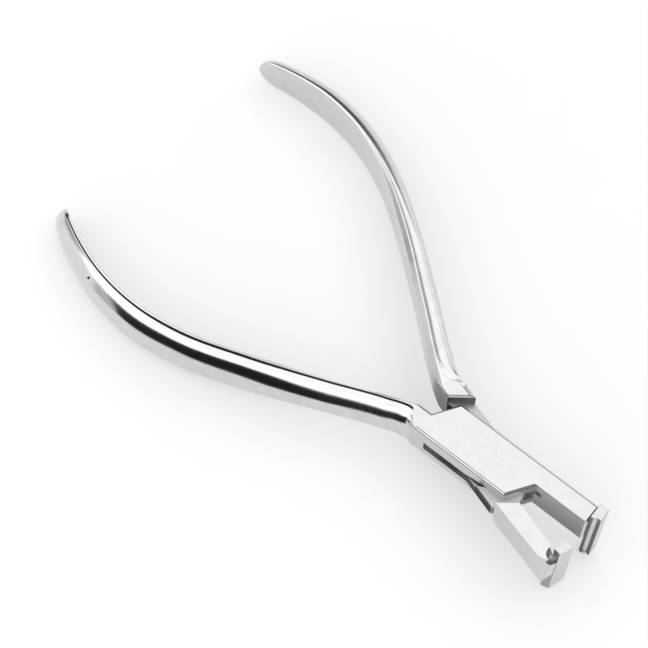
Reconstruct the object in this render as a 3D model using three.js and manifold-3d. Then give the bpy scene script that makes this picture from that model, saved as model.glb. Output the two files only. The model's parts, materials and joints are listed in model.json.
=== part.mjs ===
// Box-joint crimping pliers, lying flat and open. Millimetres, +Z up.
// The origin is the middle of the pivot's lower face, +X runs along the pliers to the jaws and
// +Y is on the side of the jaw that belongs to the box half. Each half is drawn closed, with
// its jaw along +X and the box's middle plane at Z = 0, and its group is then turned open.

import * as THREE from "three";
import { mergeVertices } from "three/addons/utils/BufferGeometryUtils.js";
import Module from "manifold-3d";

const wasm = await Module();
wasm.setup();

// ---- Driving sizes ----

const OPEN_EACH = THREE.MathUtils.degToRad(8.4); // each half turns this far from closed

const BOX = { halfWidth: 5.1, halfHeight: 5.1, bevel: 0.45 };
const DIAGONAL = THREE.MathUtils.degToRad(58); // slant of the box's open edges, seen from above
const REAR_EDGE_X = -13.7; // where the rear slant crosses the centre line
const CROTCH_EDGE_X = 11.4; // where the front slant crosses the centre line
const FACET_Y = 0.45; // half the gap between the two halves behind the box, when closed
const HIP_ENTRY = [[-17.2, FACET_Y], [-18.8, 1.9], [-17.6, 3.5], [-15.6, BOX.halfWidth]];

const SLOT = { bottom: -2.35, top: 0.8, raisedTop: 1.98, rampFrom: -1.8, rampTo: 3.0, raisedY: 2.4 };
const SLOT_WALL = [
  [-11.55, -6.5], [-14.15, -0.7], [-15, 0.2], [-15, 7], [10.9, 7], [11.95, 0.88], [13.5, 0.87], [13.5, -6.5],
];
const OUTSIDE = 9; // past any side of the box
const TENON = { bottom: -2.27, top: 0.72, shoulderTop: 1.9, neckRadius: 6.3, shoulderY: 2.0 };
const TENON_SIDE = 5.15;
const HIP_INNER_CORNER_X = -14.4; // where the hip's slanted face starts
const HIP_OUTER_CORNER_X = -11.1; // where it ends

const FAR_ARM = { inner: 0.88, end: 24.5, chamfer: 0.45 };
const NEAR_ARM = { inner: -0.86, rootSide: -5.0, tipSide: -4.35, tipX: 22.6, stepX: 9.7 };
const RELIEF = { at: [25.0, -1.45, 4.0], radius: 2.15 }; // ground hollow beside the near die

const DIE = { rear: 24.56, front: 26.7, width: 3.38, top: 7.5, bottom: -13.55 };
const BITE = { y: 1.5, stepX: 25.5, rise: 0.62, rampRun: 0.3, clearance: 0.08 };
const NEAR_DIE_FOOT = { inner: -13.3, outer: -15.2, rearRise: 1.4 };

const RIVET = { shank: 1.65, head: 1.95, headDepth: 0.8, sides: 40 };
const RIVET_GAP = 0.04; // all round, in the box's cheeks
const RUNNING_GAP = 0.09; // all round, in the tenon, where it turns
const SEAM = 0.06; // hairline between a die and its arm

// The middle line of a handle's flat inner face, seen from above, from its tip to the box.
const HANDLE_LINE = [
  [-105.2, 12.5], [-97, 16.5], [-88, 19.4], [-77, 20.5], [-66, 19.0],
  [-52, 14.4], [-36, 7.8], [-24, 2.6], [-17.2, FACET_Y],
];

// A handle's section at five stations from the tip to the box.
const HANDLE_SECTION = {
  height: [8.6, 12.2, 12.4, 11.0, 12.0],
  chamferRise: [0.2, 0.35, 0.6, 1.7, 2.2],
  chamferRun: [0.3, 0.5, 0.75, 0.95, 1.0],
  thickness: [3.0, 3.9, 4.5, 4.9, 5.1],
  roundness: [1, 1, 0.95, 0.9, 0.5],
};
const BOX_TIP_REACH = 1.2; // the box half's handle is this much longer
const TIP_ROUND = 6.0; // length over which a handle's tip rounds off
const END_ROUND = 1.6; // length over which a handle rounds down to the box
const END_SINK = 0.4; // share of its section that the rounded end loses
const HANDLE_STEPS = 44;
const SECTION_SIDES = 28;
const CHAMFER_SIDES = 2; // sides of a section that make each chamfer

const STEEL = { color: 0xc9cacc, metalness: 1.0 };

// ---- Solids ----

// The closed solid inside a surface.
function solid(geometry) {
  const bare = geometry.clone();
  bare.deleteAttribute("normal");
  bare.deleteAttribute("uv");
  const merged = mergeVertices(bare, 1e-5);
  const vertProperties = new Float32Array(merged.attributes.position.array);
  const triVerts = new Uint32Array(merged.index.array);
  return new wasm.Manifold(new wasm.Mesh({ numProp: 3, vertProperties, triVerts }));
}

// A named steel piece of the pliers.
function piece(name, body, roughness) {
  const made = body.getMesh();
  const geometry = new THREE.BufferGeometry();
  const positions = new Float32Array(made.vertProperties);
  geometry.setAttribute("position", new THREE.BufferAttribute(positions, 3));
  geometry.setIndex(new THREE.BufferAttribute(new Uint32Array(made.triVerts), 1));
  geometry.computeVertexNormals();
  const mesh = new THREE.Mesh(geometry, new THREE.MeshStandardMaterial({ ...STEEL, roughness }));
  mesh.name = name;
  return mesh;
}

const toShape = (outline) => new THREE.Shape(outline.map(([x, y]) => new THREE.Vector2(x, y)));

// An upright prism over an outline, from one level to another, with bevelled rims if asked.
function prism(shape, low, high, bevel = 0) {
  const geometry = new THREE.ExtrudeGeometry(shape, {
    depth: high - low - 2 * bevel,
    bevelEnabled: bevel > 0,
    bevelThickness: bevel,
    bevelSize: bevel,
    bevelOffset: -bevel,
    bevelSegments: 1,
    curveSegments: 8,
  });
  geometry.translate(0, 0, low + bevel);
  return solid(geometry);
}

// A prism lying across the pliers: an outline in X and Z, from one Y to another.
function crossPrism(outline, fromY, toY) {
  const geometry = new THREE.ExtrudeGeometry(toShape(outline), {
    depth: toY - fromY,
    bevelEnabled: false,
  });
  geometry.rotateX(Math.PI / 2);
  geometry.translate(0, toY, 0);
  return solid(geometry);
}

// An upright disc about the pivot.
function disc(radius, low, high) {
  const geometry = new THREE.CylinderGeometry(radius, radius, high - low, 64);
  geometry.rotateX(Math.PI / 2);
  geometry.translate(0, 0, (low + high) / 2);
  return solid(geometry);
}

// The same solid on the other side of the centre line.
function mirrored(body) {
  const made = body.getMesh();
  const vertProperties = new Float32Array(made.vertProperties);
  for (let i = 1; i < vertProperties.length; i += 3) {
    vertProperties[i] = -vertProperties[i];
  }
  const triVerts = new Uint32Array(made.triVerts).reverse();
  return new wasm.Manifold(new wasm.Mesh({ numProp: 3, vertProperties, triVerts }));
}

// The X of a slanted edge at a given Y, for an edge that crosses the centre line at a given X.
const slantX = (crossing, y) => crossing + y / Math.tan(DIAGONAL);

// ---- Handles ----

// A value between the five stations of a handle.
function atStation(values, share) {
  const place = Math.min(share, 0.99999) * (values.length - 1);
  const index = Math.floor(place);
  return THREE.MathUtils.lerp(values[index], values[index + 1], place - index);
}

// How much of a handle's section is left near its ends, from 0 to 1.
function fullness(distance, total) {
  const tip = Math.max(0, 1 - distance / TIP_ROUND);
  const end = Math.max(0, 1 - (total - distance) / END_ROUND);
  return Math.sqrt(1 - 0.96 * tip * tip) * (1 - END_SINK * (1 - Math.sqrt(1 - end * end)));
}

// A point of a handle's half-round section: how far out from the flat face, and how high.
function sectionPoint(angle, share, full) {
  const half = (atStation(HANDLE_SECTION.height, share) * full) / 2;
  const rise = atStation(HANDLE_SECTION.chamferRise, share) * full;
  const run = atStation(HANDLE_SECTION.chamferRun, share) * full;
  const depth = atStation(HANDLE_SECTION.thickness, share) * full - run;
  const power = atStation(HANDLE_SECTION.roundness, share);
  const side = Math.cos(angle);
  const sign = Math.sign(angle);
  if (side > 1e-6) {
    return [run + depth * side ** power, sign * half * Math.abs(Math.sin(angle)) ** power];
  }
  const back = Math.abs(angle) / (Math.PI / 2) - 1;
  const corner = (4 * CHAMFER_SIDES) / SECTION_SIDES;
  if (back < corner) {
    const left = 1 - back / corner;
    return [run * left, sign * (half - rise * (1 - left))];
  }
  return [0, (sign * (half - rise) * (1 - back)) / (1 - corner)];
}

// A handle on the +Y side, swept from its tip to the box.
function handle(tipReach) {
  const points = HANDLE_LINE.map(([x, y]) => new THREE.Vector3(x, y, 0));
  points[0].x -= tipReach;
  points[0].y -= tipReach / 2;
  const line = new THREE.CatmullRomCurve3(points, false, "centripetal");
  const total = line.getLength();
  const geometry = new THREE.CylinderGeometry(1, 1, 1, SECTION_SIDES, HANDLE_STEPS);
  const position = geometry.attributes.position;
  for (let i = 0; i < position.count; i += 1) {
    const share = (1 - Math.cos(Math.PI * (position.getY(i) + 0.5))) / 2;
    const radius = Math.hypot(position.getX(i), position.getZ(i));
    const angle = Math.atan2(position.getZ(i), position.getX(i));
    const full = fullness(share * total, total);
    const [out, up] = sectionPoint(angle, share, full);
    const middle = (atStation(HANDLE_SECTION.thickness, share) * full) / 2;
    const offset = middle + (out - middle) * radius;
    const place = line.getPointAt(share);
    const along = line.getTangentAt(share);
    position.setXYZ(i, place.x - along.y * offset, place.y + along.x * offset, -up * radius);
  }
  return solid(geometry);
}

// ---- Rivet ----

// The rivet, or the hole for it when a gap is given. Its heads are flush with the box.
function rivetBody(gap, reach) {
  const waist = BOX.halfHeight - RIVET.headDepth;
  const top = BOX.halfHeight + reach;
  const head = RIVET.head + gap + (reach * (RIVET.head - RIVET.shank)) / RIVET.headDepth;
  const shank = RIVET.shank + gap;
  const profile = [[0, -top], [head, -top], [shank, -waist], [shank, waist], [head, top], [0, top]];
  const points = profile.map(([x, y]) => new THREE.Vector2(x, y));
  const geometry = new THREE.LatheGeometry(points, RIVET.sides);
  geometry.rotateX(Math.PI / 2);
  return solid(geometry);
}

// ---- Box half: handle on the -Y side, the box with its slot, and the arm on the +Y side ----

// The box from above: its entry behind, the front slant, the arm and the rear slant.
function boxShape() {
  const w = BOX.halfWidth;
  const { inner, end, chamfer } = FAR_ARM;
  const crotchX = slantX(CROTCH_EDGE_X, inner);
  return toShape([
    ...HIP_ENTRY.map(([x, y]) => [x, -y]),
    [slantX(CROTCH_EDGE_X, -w), -w],
    [slantX(CROTCH_EDGE_X, inner - 0.9), inner - 0.9],
    [crotchX + 0.1, inner - 0.2],
    [crotchX + 0.6, inner],
    [end - chamfer, inner],
    [end, inner + chamfer],
    [end, w],
    [slantX(REAR_EDGE_X, w), w],
    [slantX(REAR_EDGE_X, -FACET_Y), -FACET_Y],
  ]);
}

// The passage through the box that the tenon turns in.
function slotBody() {
  const { bottom, top, raisedTop, rampFrom, rampTo, raisedY } = SLOT;
  const shape = toShape(SLOT_WALL);
  const far = 15;
  const ramp = [[rampFrom, bottom], [far, bottom], [far, raisedTop], [rampTo, raisedTop], [rampFrom, top]];
  const front = crossPrism(ramp, -OUTSIDE, raisedY);
  const rear = crossPrism(ramp.map(([x, z]) => [-x, z]).reverse(), -raisedY, OUTSIDE);
  const raised = prism(shape, bottom, raisedTop).intersect(front.add(rear));
  return prism(shape, bottom, top).add(raised);
}

// The arm's inner edges stay sharp, so a strip along them fills the box's bevel.
function sharpStrip() {
  const { inner, end, chamfer } = FAR_ARM;
  const from = slantX(CROTCH_EDGE_X, inner) + 1.1;
  const to = end - chamfer - 0.1;
  const width = 0.6;
  return toShape([[from, inner], [to, inner], [to, inner + width], [from, inner + width]]);
}

function boxHalf() {
  const h = BOX.halfHeight;
  return mirrored(handle(BOX_TIP_REACH))
    .add(prism(boxShape(), -h, h, BOX.bevel))
    .add(prism(sharpStrip(), -h, h))
    .subtract(slotBody())
    .subtract(rivetBody(RIVET_GAP, 1));
}

// ---- Tenon half: handle on the +Y side, the tenon, and the arm on the -Y side ----

// The hip from above: the block that joins the handle to the tenon.
function hipShape() {
  const [entry, side, shoulder] = HIP_ENTRY;
  return toShape([
    entry,
    [HIP_INNER_CORNER_X, FACET_Y],
    [HIP_OUTER_CORNER_X, TENON_SIDE],
    [HIP_ENTRY[3][0] + 0.4, TENON_SIDE],
    shoulder,
    side,
  ]);
}

// The tenon seen from above, with the stub that it meets each thick end with.
const TENON_SHAPE = toShape([
  [-8.7, -TENON_SIDE], [7.4, -TENON_SIDE], [10.6, -4.9], [13.2, -0.9], [12.3, -1.1],
  [8.7, TENON_SIDE], [-11.6, TENON_SIDE], [-15.0, 0.6], [-13.9, 0.5],
]);

function tenonBody() {
  const { bottom, top, shoulderTop, neckRadius, shoulderY } = TENON;
  const thin = prism(TENON_SHAPE, bottom, top);
  const neck = disc(neckRadius, -OUTSIDE, OUTSIDE);
  const thick = prism(TENON_SHAPE, bottom, shoulderTop).subtract(neck);
  const far = 20;
  const front = toShape([[0, -OUTSIDE], [far, -OUTSIDE], [far, shoulderY], [0, shoulderY]]);
  const rear = toShape([[-far, -shoulderY], [0, -shoulderY], [0, OUTSIDE], [-far, OUTSIDE]]);
  const ends = prism(front, -OUTSIDE, OUTSIDE).add(prism(rear, -OUTSIDE, OUTSIDE));
  return thin.add(thick.intersect(ends));
}

// The near arm from above, curving in to the die at its end.
function nearArmShape() {
  const { inner, rootSide, tipSide, tipX, stepX } = NEAR_ARM;
  const dieSide = BITE.y - BITE.clearance + BITE.rise - DIE.width - SEAM;
  const shape = new THREE.Shape();
  shape.moveTo(stepX, rootSide);
  shape.lineTo(tipX, tipSide);
  shape.bezierCurveTo(tipX + 1.6, tipSide + 0.1, tipX + 2.9, tipSide + 1.5, tipX + 3.5, dieSide);
  shape.lineTo(DIE.rear - SEAM, dieSide);
  shape.lineTo(DIE.rear - SEAM, inner);
  shape.lineTo(stepX + 2.75, inner);
  return shape;
}

// The arm's underside slopes up to the tenon.
function undersideSlope() {
  const { stepX } = NEAR_ARM;
  const low = -BOX.halfHeight - 1;
  const high = TENON.bottom - 0.2;
  const slope = [[stepX - 1, low], [stepX + 2.2, low], [stepX - 0.6, high], [stepX - 1, high]];
  return crossPrism(slope, -OUTSIDE, 2);
}

function tenonHalf() {
  const h = BOX.halfHeight;
  const hollow = new THREE.SphereGeometry(RELIEF.radius, 32, 20);
  hollow.translate(...RELIEF.at);
  const arm = prism(nearArmShape(), -h, h).subtract(solid(hollow)).subtract(undersideSlope());
  return handle(0)
    .add(prism(hipShape(), -h, h, BOX.bevel))
    .add(tenonBody())
    .add(arm)
    .subtract(disc(RIVET.shank + RUNNING_GAP, -OUTSIDE, OUTSIDE));
}

// ---- Dies ----

// A die's outline: a stepped biting face and a slanted front end.
function dieShape(faceY, outerY, slant) {
  const { stepX, rise, rampRun } = BITE;
  const step = stepX - (outerY > faceY ? 0 : BITE.clearance);
  const tipY = faceY + rise;
  const frontAt = (y) => DIE.front - Math.abs(y - tipY) * slant;
  return toShape([
    [DIE.rear, faceY], [step, faceY], [step + rampRun, tipY],
    [frontAt(tipY), tipY], [frontAt(outerY), outerY], [DIE.rear, outerY],
  ]);
}

// The far die, on the box half's arm.
function farDie() {
  const outer = BITE.y + DIE.width;
  return prism(dieShape(BITE.y, outer, 0.07), DIE.bottom, DIE.top);
}

// The near die's foot is ground to a slope: its outer front corner is the lowest point.
function nearDie() {
  const { inner, outer, rearRise } = NEAR_DIE_FOOT;
  const face = BITE.y - BITE.clearance;
  const outerY = face + BITE.rise - DIE.width;
  const tall = prism(dieShape(face, outerY, 0.18), outer - 1, DIE.top);
  const slope = (inner - outer) / DIE.width;
  const cutter = new THREE.BoxGeometry(20, 20, 8);
  cutter.translate(0, 0, -4);
  cutter.rotateX(Math.atan(slope));
  cutter.rotateY(Math.atan(rearRise / (DIE.front - DIE.rear)));
  cutter.translate(DIE.front - DIE.width * 0.18, outerY, outer);
  return tall.subtract(solid(cutter));
}

// ---- Assembly ----

const pliers = new THREE.Group();
pliers.position.z = BOX.halfHeight;

const boxSide = new THREE.Group();
boxSide.rotation.z = OPEN_EACH;
boxSide.add(piece("box_half", boxHalf(), 0.22));
boxSide.add(piece("box_jaw_die", farDie(), 0.35));
boxSide.add(piece("pivot_rivet", rivetBody(0, 0), 0.3));

const tenonSide = new THREE.Group();
tenonSide.rotation.z = -OPEN_EACH;
tenonSide.add(piece("tenon_half", tenonHalf(), 0.22));
tenonSide.add(piece("tenon_jaw_die", nearDie(), 0.35));

pliers.add(boxSide, tenonSide);

export default pliers;
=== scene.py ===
import json
import math

import bmesh
import bpy
import numpy as np
from mathutils import Matrix, Vector


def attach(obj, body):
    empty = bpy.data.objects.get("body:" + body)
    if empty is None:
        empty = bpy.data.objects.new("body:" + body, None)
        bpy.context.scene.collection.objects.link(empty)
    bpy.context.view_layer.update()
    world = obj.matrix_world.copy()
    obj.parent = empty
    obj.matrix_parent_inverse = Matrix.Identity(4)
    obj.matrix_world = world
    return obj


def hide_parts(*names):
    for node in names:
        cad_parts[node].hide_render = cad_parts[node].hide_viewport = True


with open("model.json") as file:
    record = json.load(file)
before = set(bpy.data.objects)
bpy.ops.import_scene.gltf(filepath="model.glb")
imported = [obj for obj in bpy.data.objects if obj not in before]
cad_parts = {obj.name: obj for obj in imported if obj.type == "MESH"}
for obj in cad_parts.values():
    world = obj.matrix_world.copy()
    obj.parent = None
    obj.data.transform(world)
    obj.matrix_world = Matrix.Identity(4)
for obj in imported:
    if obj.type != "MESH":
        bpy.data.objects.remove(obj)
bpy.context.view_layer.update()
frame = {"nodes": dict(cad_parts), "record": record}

MM = 0.001  # metres in a millimetre
PIVOT = Vector(frame["record"]["behaviour"]["joints"][0]["pos_m"])
OPEN_EACH = math.radians(8.4)  # each half stands this far from closed
HALVES = {
    "box_side": Matrix.Translation(PIVOT) @ Matrix.Rotation(OPEN_EACH, 4, "Z"),
    "tenon_side": Matrix.Translation(PIVOT) @ Matrix.Rotation(-OPEN_EACH, 4, "Z"),
}


# ---- Materials ----

ALONG = (30, 5200, 5200)  # brush lines that run along the half
ACROSS = (5200, 30, 5200)
UPRIGHT = (700, 700, 60)
RELIEF_DEPTH = 0.00002
PATCH_SCALE = 420.0


def principled(name, base, roughness, patchiness, bump, stretch=ALONG, spread=0.022, patch=0.03):
    """Steel with fine brush lines, soft patches and a little relief. spread and patch are how far
    the lines and the patches change its brightness, patchiness how much of its roughness varies."""
    mat = bpy.data.materials.new(name)
    mat.use_nodes = True
    tree = mat.node_tree
    nodes, links = tree.nodes, tree.links
    shader = nodes["Principled BSDF"]
    shader.inputs["Metallic"].default_value = 1.0
    shader.inputs["Anisotropic"].default_value = 0.35
    coords = nodes.new("ShaderNodeTexCoord")
    scale = nodes.new("ShaderNodeMapping")
    scale.inputs["Scale"].default_value = stretch
    links.new(coords.outputs["Object"], scale.inputs["Vector"])
    lines = nodes.new("ShaderNodeTexNoise")
    lines.inputs["Scale"].default_value = 1.0
    lines.inputs["Detail"].default_value = 3.0
    links.new(scale.outputs["Vector"], lines.inputs["Vector"])
    clouds = nodes.new("ShaderNodeTexNoise")
    clouds.inputs["Scale"].default_value = PATCH_SCALE
    clouds.inputs["Detail"].default_value = 4.0
    links.new(coords.outputs["Object"], clouds.inputs["Vector"])

    def ranged(source, low, high):
        node = nodes.new("ShaderNodeMapRange")
        node.inputs["From Min"].default_value = 0.3
        node.inputs["From Max"].default_value = 0.7
        node.inputs["To Min"].default_value = low
        node.inputs["To Max"].default_value = high
        links.new(source.outputs["Fac"], node.inputs["Value"])
        return node

    tone = ranged(lines, 1 - spread, 1 + spread)
    cloud = ranged(clouds, 1 - patch, 1 + patch)
    product = nodes.new("ShaderNodeMath")
    product.operation = "MULTIPLY"
    links.new(tone.outputs[0], product.inputs[0])
    links.new(cloud.outputs[0], product.inputs[1])
    colour = nodes.new("ShaderNodeVectorMath")
    colour.operation = "SCALE"
    colour.inputs[0].default_value = base
    links.new(product.outputs[0], colour.inputs["Scale"])
    links.new(colour.outputs[0], shader.inputs["Base Color"])
    rough = nodes.new("ShaderNodeMath")
    rough.operation = "MULTIPLY_ADD"
    rough.inputs[1].default_value = patchiness
    rough.inputs[2].default_value = roughness - patchiness
    links.new(cloud.outputs[0], rough.inputs[0])
    links.new(rough.outputs[0], shader.inputs["Roughness"])
    relief = nodes.new("ShaderNodeBump")
    relief.inputs["Strength"].default_value = bump
    relief.inputs["Distance"].default_value = RELIEF_DEPTH
    links.new(lines.outputs["Fac"], relief.inputs["Height"])
    links.new(relief.outputs["Normal"], shader.inputs["Normal"])
    return mat


def table_paper():
    """Matt white paper with a faint grain, glowing slightly like an overlit studio table."""
    mat = bpy.data.materials.new("table_paper")
    mat.use_nodes = True
    tree = mat.node_tree
    shader = tree.nodes["Principled BSDF"]
    shader.inputs["Roughness"].default_value = 0.9
    shader.inputs["Specular IOR Level"].default_value = 0.1
    noise = tree.nodes.new("ShaderNodeTexNoise")
    noise.inputs["Scale"].default_value = 300.0
    ramp = tree.nodes.new("ShaderNodeMapRange")
    ramp.inputs["To Min"].default_value = 0.59
    ramp.inputs["To Max"].default_value = 0.60
    tree.links.new(noise.outputs["Fac"], ramp.inputs["Value"])
    tree.links.new(ramp.outputs[0], shader.inputs["Base Color"])
    shader.inputs["Emission Color"].default_value = (1, 1, 1, 1)
    shader.inputs["Emission Strength"].default_value = 0.27
    return mat


# ---- Mesh helpers, in millimetres of a half's own closed frame ----

def smooth_values(xs, ys, at):
    """A smooth curve through (xs, ys) without overshoot, read at given places."""
    xs, ys = np.array(xs, float), np.array(ys, float)
    step = np.diff(xs)
    slope = np.diff(ys) / step
    tangent = np.zeros_like(ys)
    tangent[0], tangent[-1] = slope[0], slope[-1]
    for i in range(1, len(xs) - 1):
        if slope[i - 1] * slope[i] > 0:
            tangent[i] = 2 / (1 / slope[i - 1] + 1 / slope[i])
    at = np.clip(at, xs[0], xs[-1])
    i = np.clip(np.searchsorted(xs, at) - 1, 0, len(xs) - 2)
    t = (at - xs[i]) / step[i]
    return (
        (2 * t**3 - 3 * t**2 + 1) * ys[i]
        + (t**3 - 2 * t**2 + t) * step[i] * tangent[i]
        + (3 * t**2 - 2 * t**3) * ys[i + 1]
        + (t**3 - t**2) * step[i] * tangent[i + 1]
    )


def mesh_object(name, bm):
    """Turn a bmesh into an object in the scene."""
    bmesh.ops.recalc_face_normals(bm, faces=bm.faces)
    mesh = bpy.data.meshes.new(name)
    bm.to_mesh(mesh)
    bm.free()
    made = bpy.data.objects.new(name, mesh)
    bpy.context.scene.collection.objects.link(made)
    return made


def inset(outline, amounts):
    """The outline with each side moved in by its own amount. Sides run anticlockwise."""
    points = [np.array(p, float) for p in outline]
    count = len(points)
    lines = []
    for i in range(count):
        along = points[(i + 1) % count] - points[i]
        along /= np.hypot(*along)
        inward = np.array([-along[1], along[0]])
        lines.append((points[i] + inward * amounts[i], along))
    moved = []
    for i in range(count):
        (p, d), (q, e) = lines[i - 1], lines[i]
        cross = d[0] * e[1] - d[1] * e[0]
        gap = q - p
        moved.append(p + d * ((gap[0] * e[1] - gap[1] * e[0]) / cross) if abs(cross) > 1e-6 else q)
    return moved


CHAMFER_STRIPS = (0, 0.3, 0.7, 1)  # a chamfer is a broad strip between two narrow ones


def prism(outline, low, high, chamfer=0.0, own=None, rim=None, foot=None):
    """An upright prism with chamfered rims. own gives some sides a chamfer of their own. rim is
    the outline of the top and bottom faces where that isn't enough. foot is another bottom outline."""
    area = sum(x * v - u * y for (x, y), (u, v) in zip(outline, outline[1:] + outline[:1]))
    assert area > 0, "outline must run anticlockwise"
    levels = [(foot or outline, low), (outline, high)]
    if chamfer:
        rim = rim or inset(outline, [(own or {}).get(i, chamfer) for i in range(len(outline))])
        strips = []
        for share in CHAMFER_STRIPS:
            pairs = zip(outline, rim)
            ring = [(x + (u - x) * share, y + (v - y) * share) for (x, y), (u, v) in pairs]
            strips.append((ring, chamfer * (1 - share)))
        levels = [(ring, low + drop) for ring, drop in strips[::-1]]
        levels += [(ring, high - drop) for ring, drop in strips]
    bm = bmesh.new()
    rings = [[bm.verts.new((x * MM, y * MM, z * MM)) for x, y in ring] for ring, z in levels]
    bm.faces.new(rings[0][::-1])
    bm.faces.new(rings[-1])
    for lower, upper in zip(rings, rings[1:]):
        for i in range(len(outline)):
            j = (i + 1) % len(outline)
            bm.faces.new((lower[i], lower[j], upper[j], upper[i]))
    return mesh_object("prism", bm)


def hull(points):
    """The convex body around some points."""
    bm = bmesh.new()
    for p in points:
        bm.verts.new([c * MM for c in p])
    bmesh.ops.convex_hull(bm, input=bm.verts)
    return mesh_object("hull", bm)


def cylinder(radius, low, high, sides=96):
    """An upright cylinder about the pivot's axis."""
    bm = bmesh.new()
    middle = Matrix.Translation((0, 0, (high + low) / 2 * MM))
    bmesh.ops.create_cone(bm, cap_ends=True, segments=sides, radius1=radius * MM,
                          radius2=radius * MM, depth=(high - low) * MM, matrix=middle)
    return mesh_object("cylinder", bm)


def ball(centre, radius):
    bm = bmesh.new()
    bmesh.ops.create_uvsphere(bm, u_segments=64, v_segments=40, radius=radius * MM,
                              matrix=Matrix.Translation([c * MM for c in centre]))
    return mesh_object("ball", bm)


def apply_modifiers(made):
    """Make the result of an object's modifiers its mesh."""
    graph = bpy.context.evaluated_depsgraph_get()
    mesh = bpy.data.meshes.new_from_object(made.evaluated_get(graph))
    old = made.data
    made.modifiers.clear()
    made.data = mesh
    bpy.data.meshes.remove(old)


def combine(made, others, operation):
    """Join or cut an object with others, which are used up."""
    for other in others:
        step = made.modifiers.new("boolean", "BOOLEAN")
        step.operation = operation
        step.solver = "EXACT"
        step.object = other
        bpy.context.view_layer.update()
        apply_modifiers(made)
        bpy.data.meshes.remove(other.data)
    return made


def fill_slots(made, count):
    """Empty material slots, to give faces to before the materials are put in."""
    while len(made.data.materials) < count:
        made.data.materials.append(None)
    return made


WELD_DISTANCE = 2e-6


def soften(made, width, segments=2, angle=28, material=-1):
    """Small rounded edges, with flat faces left flat. material is the slot of the new faces."""
    weld = made.modifiers.new("weld", "WELD")
    weld.merge_threshold = WELD_DISTANCE
    step = made.modifiers.new("bevel", "BEVEL")
    step.width = width * MM
    step.segments = segments
    step.limit_method = "ANGLE"
    step.angle_limit = math.radians(angle)
    step.material = material
    bpy.context.view_layer.update()
    apply_modifiers(made)
    return made


def shade(made, angle=30):
    """Smooth shading that stays crisp at corners."""
    made.data.shade_smooth()
    made.data.set_sharp_from_angle(angle=math.radians(angle))
    step = made.modifiers.new("weighted", "WEIGHTED_NORMAL")
    step.keep_sharp = True
    return made


def paint(made, index, chosen):
    """Give the faces that chosen(centre in mm, normal) picks another material slot."""
    for face in made.data.polygons:
        if chosen(face.center / MM, face.normal):
            face.material_index = index
    return made


def place(made, name, node, body, slot, *materials):
    """Name a piece, give it its materials and set it on its body, in place of a CAD node."""
    made.name = name
    made.data.name = name
    painted = [face.material_index for face in made.data.polygons]
    made.data.materials.clear()
    for material in materials:
        made.data.materials.append(material)
    made.data.polygons.foreach_set("material_index", painted)
    made.matrix_world = HALVES[body]
    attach(made, body)
    if node:
        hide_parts(node)


# ---- Handles ----

# The line along a handle's inner side, with the pliers closed
LINE = [(-105.2, 12.5), (-97, 16.5), (-88, 19.4), (-77, 20.5), (-66, 19.0),
        (-52, 14.4), (-36, 7.8), (-24, 2.6), (-19.2, 0.9), (-17, 0.47), (-14.6, 0.45)]
# Sizes of the section at places along the handle, from the tip to the joint
STATION_X = [-108, -97, -88, -77, -66, -52, -45, -41, -35, -29, -24, -19, -17.3, -15.2]
FLAT_HALF = [3.85, 4.8, 5.5, 5.6, 5.4, 5.1, 4.8, 4.1, 3.55, 3.2, 3.4, 3.9, 4.6, 4.6]
CHAMFER_RUN = [0.2, 0.25, 0.3, 0.35, 0.55, 0.85, 0.9, 0.9, 0.95, 1.0, 0.95, 0.75, 0.5, 0.45]
CHAMFER_TOP = [4.1, 5.1, 5.85, 6.05, 6.0, 5.9, 5.6, 5.3, 5.1, 5.08, 5.09, 5.09, 5.09, 5.09]
# What the two handles don't share. edge: share of the chamfer. thick: inner to outer side.
# ledge: flat strip beside the chamfer. lift, crown: height and width of the crown's rise, which
# bend eases in. lean: tilt in degrees with which the outer flank starts. round, under: how round
# the flank is above and below the middle, with 1 for an ellipse and less for a squarer one.
LEFT = {
    "edge": [1, 1, 1, 1, 1, 1, 1, 1, 1, 1, 1, 1, 1, 1],
    "thick": [3.3, 3.9, 4.2, 4.2, 4.15, 4.15, 4.2, 4.25, 4.3, 4.35, 4.45, 4.55, 4.6, 4.6],
    "ledge": [0.2, 0.25, 0.3, 0.3, 0.2, 0, 0, 0, 0, 0.02, 0.1, 0.25, 0.9, 4.1],
    "lift": [0.16, 0.19, 0.23, 0.3, 0.37, 0.34, 0.3, 0.28, 0.27, 0.27, 0.28, 0.32, 0.3, 0.15],
    "crown": [0.38, 0.42, 0.48, 0.62, 0.85, 0.86, 0.78, 0.72, 0.68, 0.68, 0.7, 0.8, 0.75, 0.4],
    "bend": 1.3,
    "lean": [60, 59, 56, 39, 17, 11, 14, 17, 20, 20, 20, 20, 16, 0],
    "round": [1, 1, 1, 0.98, 0.97, 0.97, 1, 1, 1, 1, 1, 0.95, 0.85, 0.5],
    "under": [0.7, 0.5, 0.4, 0.3, 0.3, 0.3, 0.3, 0.3, 0.3, 0.3, 0.3, 0.3, 0.3, 0.3],
}
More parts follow.
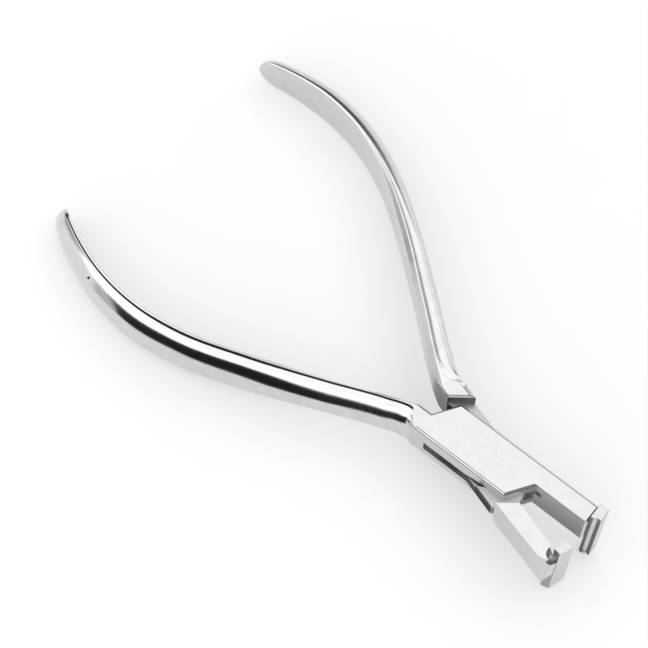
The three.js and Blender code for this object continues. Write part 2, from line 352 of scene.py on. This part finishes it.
RIGHT = {
    "edge": [0.5, 0.5, 0.5, 0.55, 0.75, 1, 1, 1, 1, 1, 1, 1, 1, 1],
    "thick": [2.7, 3.3, 3.8, 4.1, 4.3, 4.5, 4.65, 4.75, 4.9, 5.0, 5.1, 5.1, 5.0, 4.72],
    "ledge": [0, 0, 0, 0.1, 0.3, 0.3, 0.3, 0.3, 0.3, 0.3, 0.3, 1.1, 2.0, 4.1],
    "lift": [0.04, 0.05, 0.06, 0.08, 0.2, 0.5, 0.6, 0.65, 0.65, 0.65, 0.65, 0.75, 0.8, 0.2],
    "crown": [0.1, 0.1, 0.12, 0.15, 0.4, 1.1, 1.2, 1.2, 1.2, 1.15, 1.1, 1.0, 0.9, 0.3],
    "bend": 2.0,
    "lean": [22, 17, 14, 14, 12, 2, 0, 0, 0, 0, 0, 0, 0, 0],
    "round": [1, 1, 1, 1, 0.95, 0.9, 0.88, 0.86, 0.82, 0.76, 0.7, 0.6, 0.55, 0.5],
    "under": [1, 1, 1, 1, 0.95, 0.9, 0.88, 0.86, 0.82, 0.76, 0.7, 0.6, 0.55, 0.5],
}
TIP_ROUND = 4.4  # length over which the tip rounds off
SQUARE_FROM_X, SQUARE_RUN = -26, 8  # where the section turns square to X
HANDLE_RINGS = 300
TIP_RINGS = 18
CRISP_EDGES = (2, 4, 5)  # the section's corners: the chamfer's two edges and the ledge's end


def curve_points(points, count):
    """Evenly spaced points and tangents along a smooth curve through the given points."""
    points = np.array(points, float)
    knots = np.concatenate([[0], np.cumsum(np.hypot(*np.diff(points, axis=0).T))])
    fine = np.linspace(0, knots[-1], 4000)
    tangents = np.gradient(points, knots, axis=0)
    i = np.clip(np.searchsorted(knots, fine) - 1, 0, len(knots) - 2)
    h = (knots[i + 1] - knots[i])[:, None]
    t = ((fine - knots[i]) / h[:, 0])[:, None]
    curve = (
        (2 * t**3 - 3 * t**2 + 1) * points[i]
        + (t**3 - 2 * t**2 + t) * h * tangents[i]
        + (3 * t**2 - 2 * t**3) * points[i + 1]
        + (t**3 - t**2) * h * tangents[i + 1]
    )
    length = np.concatenate([[0], np.cumsum(np.hypot(*np.diff(curve, axis=0).T))])
    at = np.linspace(0, length[-1], count)
    place = np.stack([np.interp(at, length, curve[:, k]) for k in (0, 1)], 1)
    tangent = np.gradient(place, at, axis=0)
    tangent /= np.hypot(*tangent.T)[:, None]
    return at, place, tangent


def half_section(x, full, form, squareness):
    """One half of a handle's section at X, as (out, up), from the inner flat to the outer side."""
    def read(values):
        return float(smooth_values(STATION_X, values, np.array([x]))[0])

    edge = read(form["edge"])
    flat, run, top = read(FLAT_HALF) * full, read(CHAMFER_RUN) * full * edge, read(CHAMFER_TOP) * full
    flat = top - (top - flat) * edge
    lift, over, ledge = (read(form[key]) * full for key in ("lift", "crown", "ledge"))
    thick, power = read(form["thick"]) * (0.35 + 0.65 * full), read(form[squareness])
    lean = math.radians(read(form["lean"]))
    start = run + ledge
    over = min(over, 0.6 * (thick - start))
    crown = top + lift
    points = [(0.0, 0.0), (0.0, flat * 0.5), (0.0, flat)]
    points += [(run / 2, (flat + top) / 2), (run, top), (start, top)]
    for k in range(1, 9):
        share = k / 8
        points.append((start + over * share, top + lift * (1 - (1 - share) ** form["bend"])))
    for k in range(1, 21):
        angle = lean + (math.pi / 2 - lean) * k / 20
        out = (math.sin(angle) - math.sin(lean)) / (1 - math.sin(lean))
        up = max(0.0, math.cos(angle)) / math.cos(lean)
        points.append((start + over + (thick - start - over) * out ** power, crown * up ** power))
    return points


def handle(side, reach, form):
    """A handle swept from its tip to the joint. side is +1 for the +Y half. reach lengthens the
    tip. Near the joint the section turns square to X, to meet the joint's upright face."""
    line = [list(p) for p in LINE]
    line[0][0] -= reach
    line[0][1] -= reach / 2
    at, places, tangents = curve_points(line, HANDLE_RINGS)
    tip = np.linspace(0, 1, TIP_RINGS)[1:-1]
    order = sorted(set(np.concatenate([TIP_ROUND * tip**2, at[at > TIP_ROUND], [0.0]])))
    bm = bmesh.new()
    rings = []
    for s in order:
        x, y = (float(np.interp(s, at, places[:, k])) for k in (0, 1))
        tx, ty = (float(np.interp(s, at, tangents[:, k])) for k in (0, 1))
        gone = max(0.0, 1 - s / TIP_ROUND)
        full = math.sqrt(max(0.0, 1 - 0.985 * gone * gone))
        square = np.clip((x - SQUARE_FROM_X) / SQUARE_RUN, 0, 1)
        square = square * square * (3 - 2 * square)
        tx, ty = tx * (1 - square) + square, ty * (1 - square)
        size = math.hypot(tx, ty)
        tx, ty = tx / size, ty / size
        upper = half_section(x, full, form, "round")
        lower = half_section(x, full, form, "under")
        ring = upper + [(o, -u) for o, u in lower[-2:0:-1]]
        rings.append([
            bm.verts.new(((x - ty * o) * MM, side * (y + tx * o) * MM, u * MM)) for o, u in ring
        ])
    size = len(rings[0])
    crisp = {*CRISP_EDGES, *(size - i for i in CRISP_EDGES)}
    for first, second in zip(rings, rings[1:]):
        for i in range(size):
            j = (i + 1) % size
            bm.faces.new((first[i], first[j], second[j], second[i]))
    bm.faces.new(rings[0])
    bm.faces.new(rings[-1])
    for first, second in zip(rings, rings[1:]):
        for i in crisp:
            bm.edges.get((first[i], second[i])).smooth = False
    for face in bm.faces:
        face.smooth = True
    return mesh_object("handle", bm)


# ---- Box half ----

H = 5.1  # half the thickness of the joint and the jaw arms
RIM = 0.45  # chamfer round the joint's top and bottom
SLANT = math.tan(math.radians(58))  # slope of the box's open edges, seen from above
REAR_SLANT_X = -13.75  # where the open edges cross the centre line
FRONT_SLANT_X = 11.4
ROOT_X = -17.3  # the joint's upright rear face, where the handles meet it
FAR_ARM_Y = 0.88
FAR_ARM_END_X = 24.5
RIM_SIDE = 4.65
SLOT_FLOOR, SLOT_ROOF, SLOT_RAISED_ROOF = -2.35, 0.8, 1.98
RIVET_HOLE = 1.96


def slant(crossing, y):
    """X at y on an open edge that crosses the centre line at crossing."""
    return crossing + y / SLANT


def raised_slot(mouth, ramp_x, ramp_sides):
    """A mouth of the slot, which is higher and ramps down towards the pivot."""
    high = [(x, y, z) for x, y in mouth for z in (0, SLOT_RAISED_ROOF)]
    ramp = [(ramp_x, y, z) for z in (SLOT_ROOF, 0) for y in ramp_sides]
    return hull(high + ramp)


def box_body():
    """The box with its slot, and the arm of the far jaw."""
    wall = [
        (ROOT_X, -0.45), (ROOT_X, -4.7), (-15.6, -H), (slant(FRONT_SLANT_X, -H), -H),
        (11.62, 0.35), (11.8, 0.62), (12.0, 0.79), (12.3, FAR_ARM_Y),
        (24.05, FAR_ARM_Y), (FAR_ARM_END_X, 1.33), (FAR_ARM_END_X, H),
        (slant(REAR_SLANT_X, H), H), (slant(REAR_SLANT_X, -0.45), -0.45),
    ]
    rim = [
        (ROOT_X, -0.9), (ROOT_X, -4.6), (-15.5, -RIM_SIDE), (7.96, -RIM_SIDE),
        (11.07, 0.18), (11.25, 0.5), (11.45, 0.75), (11.75, FAR_ARM_Y),
        (24.04, FAR_ARM_Y), (24.05, 1.5), (24.05, RIM_SIDE),
        (slant(-13.2, RIM_SIDE), RIM_SIDE), (slant(-13.2, -0.9), -0.9),
    ]
    slot = [
        (-11.55, -6.5), (13.5, -6.5), (13.5, 0.6), (11.9, 0.88),
        (10.9, 7), (-15, 7), (-15, 0.2), (-14.15, -0.7),
    ]
    front_mouth = [(14, -7), (14, 0.6), (11.9, 0.88), (11.7, 2.4), (3, 2.4), (3, -7)]
    rear_mouth = [(-15, 7), (-15, 0.2), (-13.7, -1.2), (-13.2, -2.4), (-3, -2.4), (-3, 7)]
    cuts = [
        prism(slot, SLOT_FLOOR, SLOT_ROOF),
        raised_slot(front_mouth, -1.8, (-7, 2.4)),
        raised_slot(rear_mouth, 1.8, (7, -2.4)),
        cylinder(RIVET_HOLE, -6, 6),
    ]
    return combine(prism(wall, -H, H, RIM, rim=rim), cuts, "DIFFERENCE")


# ---- Tenon half ----

TENON_SIDE_Y = 5.15
TENON_FLOOR, TENON_ROOF = -2.27, 0.72
SHOULDER_FLOOR, SHOULDER_ROOF = -2.0, 1.9
SHOULDER_Y = 2.0
NECK_RADIUS = 6.3  # the shoulders stop at this distance from the pivot


def arc(start, end, count):
    """Points round the neck, between two angles in degrees."""
    angles = np.linspace(math.radians(start), math.radians(end), count)
    return [(NECK_RADIUS * math.cos(a), NECK_RADIUS * math.sin(a)) for a in angles]


def tenon_plates():
    """The tenon that passes through the slot: a plate and its front and rear shoulders."""
    side = TENON_SIDE_Y
    front = [(9.0, -side), (13.2, -0.9), (12.3, -1.1), (11.43, 0.26)]
    rear = [(-11.6, side), (-15, 0.6), (-13.9, 0.5), (-12.3, 1.1)]
    plate = [(-8.7, -side)] + front + [(10.62, 1.96), (8.7, side)] + rear
    neck = math.degrees(math.acos(SHOULDER_Y / NECK_RADIUS))
    low = math.degrees(math.asin(side / NECK_RADIUS))
    front_round = arc(-low, 90 - neck, 14)[::-1]
    rear_round = arc(180 - low, 270 - neck, 14)[::-1]
    front_shoulder = front + [(10.6, SHOULDER_Y)] + front_round
    rear_shoulder = rear + [(-11.9, -0.2), (-11.1, -SHOULDER_Y)] + rear_round
    return [
        prism(plate, TENON_FLOOR, TENON_ROOF),
        prism(front_shoulder, SHOULDER_FLOOR, SHOULDER_ROOF),
        prism(rear_shoulder, SHOULDER_FLOOR, SHOULDER_ROOF),
    ]


def hip():
    """The block behind the box where the right handle turns into the tenon."""
    outline = [(ROOT_X, 4.7), (ROOT_X, 0.45), (-14.4, 0.45), (-11.08, 5.15), (-15.6, 5.15)]
    return prism(outline, -H, H, RIM, own={0: 0.0, 1: 0.15, 3: 0.8, 4: 0.7})


def near_arm():
    """The near jaw's arm: its outer end is rounded at the top and square at the bottom. A hollow
    is ground beside the die, and the underside slopes up to the tenon."""
    rounded = [
        (22.6, -4.42), (23.4, -4.26), (24.2, -3.95), (24.95, -3.45),
        (25.5, -2.8), (25.85, -2.05), (25.98, -1.35),
    ]
    square = [
        (22.6, -4.42), (23.6, -4.39), (24.6, -4.36), (25.5, -4.3),
        (25.85, -4.1), (25.95, -2.8), (25.98, -1.35),
    ]
    start, inner = [(9.7, -4.86)], [(24.5, -1.35), (24.5, -0.86), (12.45, -0.86)]
    arm = prism(start + rounded + inner, -H, H, foot=start + square + inner)
    hollow = ball((24.97, -1.41, 3.94), 2.05)
    slope = [(8.7, -6.2), (11.9, -6.2), (9.1, -2.47), (8.7, -2.47)]
    underside = hull([(x, y, z) for x, z in slope for y in (-8, 2)])
    return combine(arm, [hollow, underside], "DIFFERENCE")


# ---- Dies ----

DIE_REAR_X = 24.56
DIE_TOP = 7.5
FAR_DIE_BOTTOM = -13.55
NEAR_DIE_BOTTOM = -16  # before its foot is cut slanting


def far_die():
    """The far jaw's upright die, with two steps and a groove in its bite."""
    outline = [
        (DIE_REAR_X, 1.5), (25.2, 1.48), (25.62, 1.7), (26.0, 2.1),
        (26.8, 1.95), (26.68, 4.88), (DIE_REAR_X, 4.88),
    ]
    return prism(outline, FAR_DIE_BOTTOM, DIE_TOP)


def near_die():
    """The near jaw's upright die, with a heel under the arm and a slanting foot."""
    outline = [
        (DIE_REAR_X, -1.4), (26.05, -1.25), (26.42, 2.04), (26.1, 2.01),
        (25.5, 1.6), (25.15, 1.38), (DIE_REAR_X, 1.38),
    ]
    heel = [(DIE_REAR_X, -2.3), (26.04, -1.26), (25.9, -1.1), (DIE_REAR_X, -1.1)]
    below = [(24.2, -3, -18), (27, -3, -18), (27, 2.6, -18), (24.2, 2.6, -18)]
    foot = [(24.2, -3, -14.3), (27, -3, -16.1), (27, 2.6, -12.9), (24.2, 2.6, -11.6)]
    die = prism(outline, NEAR_DIE_BOTTOM, DIE_TOP)
    combine(die, [prism(heel, NEAR_DIE_BOTTOM, -H - 0.05)], "UNION")
    return combine(die, [hull(below + foot)], "DIFFERENCE")


# ---- Pieces ----

DOT_PLACE = (-89.6, -22.12)
DOT_RADIUS = 0.3

satin = principled("satin_steel", (0.615, 0.615, 0.62), 0.30, 0.08, 0.2)
polished = principled("polished_steel", (0.66, 0.66, 0.665), 0.17, 0.05, 0.2, spread=0.04, patch=0.05)
brushed = principled("brushed_steel", (0.64, 0.64, 0.645), 0.27, 0.06, 0.3, spread=0.04, patch=0.05)
# Darker steel for the tenon plates: painted shade, deepening the slot and the hollow round the neck
tenon_steel_painted_shade = principled("tenon_steel_painted_shade", (0.44, 0.44, 0.445), 0.34, 0.08, 0.3, stretch=ACROSS)
# Darker steel for the near arm's rounded edges: painted shade, a thin dark edge line
painted_bevel_shade = principled("painted_bevel_shade", (0.47, 0.47, 0.475), 0.3, 0.08, 0.3)
# Dark steel for the thin lines along chamfers and rounded edges: painted shade, standing in for dark
# reflections at the edges
painted_edge_shade = principled("painted_edge_shade", (0.11, 0.11, 0.11), 0.35, 0.08, 0.3)
ground = principled("ground_steel", (0.58, 0.58, 0.59), 0.32, 0.08, 0.3, stretch=UPRIGHT)
# Darker steel for the dies' faces that look to -Y: painted shade for the dark reflections between the
# jaws and the contact shadow at the near die's foot
painted_die_shade = principled("painted_die_shade", (0.3, 0.3, 0.305), 0.34, 0.08, 0.3, stretch=UPRIGHT)
# Near-black, for the punch dot, and as painted shade on the tenon plates' faces that show in the slot
dark = principled("dot_and_painted_shade", (0.02, 0.02, 0.02), 0.5, 0.1, 0.3)


def chamfer_shade_strips(centre, normal):
    """The narrow strips on either side of a chamfer, which get painted shade as dark lines along its
    edges.
    """
    from_middle = abs(abs(centre.z) - H + RIM / 2)
    return 0.3 < abs(normal.z) < 0.95 and from_middle > 0.09


def towards_minus_y(limit):
    """The faces that look to -Y more than the limit."""
    return lambda centre, normal: normal.y < -limit


def front_wall(centre, normal):
    return normal.x > 0.7 and abs(normal.z) < 0.3


def box_pieces():
    # The chamfer's border strips and the rounded edges get painted shade lines
    shape = paint(fill_slots(box_body(), 2), 1, chamfer_shade_strips)
    shade(soften(shape, 0.11, material=1))
    place(shape, "box_and_arm", "box_half", "box_side", "satin_steel", satin, painted_edge_shade)

    shape = handle(-1, 0.7, LEFT)
    bpy.context.view_layer.update()
    above = (DOT_PLACE[0] * MM, DOT_PLACE[1] * MM, 0.02)
    on_surface = shape.ray_cast(above, (0, 0, -1))[1] / MM
    place(shape, "left_handle", "box_half", "box_side", "satin_steel", polished)
    dot = shade(ball(on_surface, DOT_RADIUS))
    place(dot, "punch_dot", None, "box_side", "satin_steel", dark)


def tenon_pieces():
    for index, plate in enumerate(tenon_plates()):
        # The plates' faces that look to -Y get near-black painted shade, to darken the slot
        paint(fill_slots(shade(plate), 2), 1, towards_minus_y(0.9))
        name = f"tenon_plate_{index}"
        place(plate, name, "tenon_half", "tenon_side", "satin_steel", tenon_steel_painted_shade, dark)

    # The hip's upright front wall and its rounded edges are painted dark: painted shade for the dark
    # band under its top edge
    shape = paint(fill_slots(hip(), 3), 1, front_wall)
    shade(soften(shape, 0.09, material=2))
    place(shape, "hip", "tenon_half", "tenon_side", "satin_steel", satin, painted_edge_shade, painted_edge_shade)

    shape = fill_slots(near_arm(), 2)
    # The near arm's rounded edges get painted shade
    shade(soften(shape, 0.07, material=1))
    place(shape, "near_arm", "tenon_half", "tenon_side", "satin_steel", satin, painted_bevel_shade)
    place(handle(1, 0, RIGHT), "right_handle", "tenon_half", "tenon_side", "satin_steel", brushed)


def dies():
    steels = (ground, painted_edge_shade, painted_die_shade)
    # The dies' faces that look to -Y get painted shade, and their rounded edges painted shade lines
    shape = paint(fill_slots(far_die(), 3), 2, towards_minus_y(0.9))
    shade(soften(shape, 0.06, material=1))
    place(shape, "far_die", "box_jaw_die", "box_side", "die_steel", *steels)

    shape = paint(fill_slots(near_die(), 3), 2, towards_minus_y(0.75))
    shade(soften(shape, 0.06, material=1))
    place(shape, "near_die", "tenon_jaw_die", "tenon_side", "die_steel", *steels)


def rivet():
    """The rivet keeps the CAD's mesh."""
    materials = frame["nodes"]["pivot_rivet"].data.materials
    materials.clear()
    materials.append(satin)


# ---- Studio ----

QUARTER = math.radians(90)
SOFT_LIGHTS = [  # name, place, size, watts, turn about X
    ("overhead_softbox", (0, -0.1, 0.8), (2.0, 2.4), 15.8, 0),
    ("front_card", (-0.1, -0.75, 0.22), (1.4, 0.42), 2.8, QUARTER),
    ("back_card", (0.3, 0.8, 0.22), (1.0, 0.42), 1.3, -QUARTER),
]
SKY_STRENGTH = 0.42
CARD_RAYS = ("camera", "diffuse", "shadow", "transmission", "volume_scatter")
TABLE_HALF = 2.5
TABLE_SLOPE = 0.083  # the pliers rest on the near die's foot and both handles
TABLE_LOW_X, TABLE_LOW_Z = 0.026, -0.0102
CARD_GAP = 0.0003  # between the table and a card on it
# Cards seen only in the steel's reflections: painted reflections of dark surroundings, and painted
# shade under the joint and jaws
TABLE_CARDS = {  # name: (tone, outline)
    "table_flag": (0.01, [
        (-0.080, -0.0485), (-0.070, -0.0452), (-0.060, -0.042), (-0.050, -0.0365),
        (-0.040, -0.0300), (-0.027, -0.0245), (-0.015, -0.0225), (0.0, -0.022), (0.012, -0.022),
        (0.15, -0.30), (-0.19, -0.30),
    ]),
    "table_flag_edge": (0.5, [(-0.092, -0.050), (-0.080, -0.0485), (-0.19, -0.30), (-0.235, -0.30)]),
    "hip_shade": (0.33, [(-0.032, -0.004), (0.004, -0.004), (0.004, 0.004), (-0.032, 0.004)]),
    "jaw_shade": (0.36, [
        (0.004, -0.004), (0.022, -0.004), (0.0255, -0.0005), (0.0265, 0.009), (0.004, 0.004),
    ]),
}
# The back flag is another painted reflection, seen only in the steel
BACK_FLAG_TONE = 0.01
BACK_FLAG = [(-0.75, 0.15, 0.07), (-0.15, 0.75, 0.02), (-0.15, 0.75, 0.58), (-0.75, 0.15, 0.58)]
CAMERA_FROM_PIVOT = Vector((0.08702, -0.12259, 0.38130))
TARGET_FROM_PIVOT = Vector((-0.04533, -0.00384, 0))
CAMERA_RIGHT = Vector((0.6678, 0.7443, 0))
SENSOR_WIDTH = 36
FOCAL_LENGTH = 110.3


def lights():
    for name, spot, size, watts, turn in SOFT_LIGHTS:
        area = bpy.data.lights.new(name, "AREA")
        area.shape = "RECTANGLE"
        area.size, area.size_y = size
        area.energy = watts
        lamp = bpy.data.objects.new(name, area)
        lamp.location = spot
        lamp.rotation_euler = (turn, 0, 0)
        bpy.context.scene.collection.objects.link(lamp)
    world = bpy.data.worlds.new("studio")
    bpy.context.scene.world = world
    world.use_nodes = True
    background = world.node_tree.nodes["Background"]
    background.inputs["Color"].default_value = (1, 1, 1, 1)
    background.inputs["Strength"].default_value = SKY_STRENGTH


def add_card(name, corners, tone):
    """A dark card that only shows as a band in the polished steel: a painted reflection, which the
    camera doesn't see and which casts no shadow.
    """
    mesh = bpy.data.meshes.new(name)
    mesh.from_pydata(corners, [], [tuple(range(len(corners)))])
    card = bpy.data.objects.new(name, mesh)
    bpy.context.scene.collection.objects.link(card)
    mat = bpy.data.materials.new(name)
    mat.use_nodes = True
    shader = mat.node_tree.nodes["Principled BSDF"]
    shader.inputs["Roughness"].default_value = 1.0
    shader.inputs["Specular IOR Level"].default_value = 0.0
    shader.inputs["Base Color"].default_value = (tone, tone, tone, 1)
    mesh.materials.append(mat)
    for ray in CARD_RAYS:
        setattr(card, "visible_" + ray, False)


def table_height(x):
    """The table slopes in the pliers' frame, and is lowest under the dies."""
    return TABLE_LOW_Z + TABLE_SLOPE * (TABLE_LOW_X - x)


def cards():
    for name, (tone, outline) in TABLE_CARDS.items():
        add_card(name, [(x, y, table_height(x) + CARD_GAP) for x, y in outline], tone)
    add_card("back_flag", BACK_FLAG, BACK_FLAG_TONE)


def floor():
    mesh = bpy.data.meshes.new("table")
    s = TABLE_HALF
    corners = [(x, y, table_height(x)) for x, y in [(-s, -s), (s, -s), (s, s), (-s, s)]]
    mesh.from_pydata(corners, [], [(0, 1, 2, 3)])
    table = bpy.data.objects.new("table", mesh)
    bpy.context.scene.collection.objects.link(table)
    table.data.materials.append(table_paper())


def camera():
    data = bpy.data.cameras.new("camera")
    data.sensor_width = SENSOR_WIDTH
    data.lens = FOCAL_LENGTH
    spot = PIVOT + CAMERA_FROM_PIVOT
    right = CAMERA_RIGHT.normalized()
    back = (spot - PIVOT - TARGET_FROM_PIVOT).normalized()
    up = back.cross(right)
    cam = bpy.data.objects.new("camera", data)
    cam.matrix_world = Matrix((
        (right.x, up.x, back.x, spot.x),
        (right.y, up.y, back.y, spot.y),
        (right.z, up.z, back.z, spot.z),
        (0, 0, 0, 1),
    ))
    bpy.context.scene.collection.objects.link(cam)
    bpy.context.scene.camera = cam


box_pieces()
tenon_pieces()
dies()
rivet()
lights()
cards()
floor()
camera()
bpy.context.scene.view_settings.view_transform = "Standard"
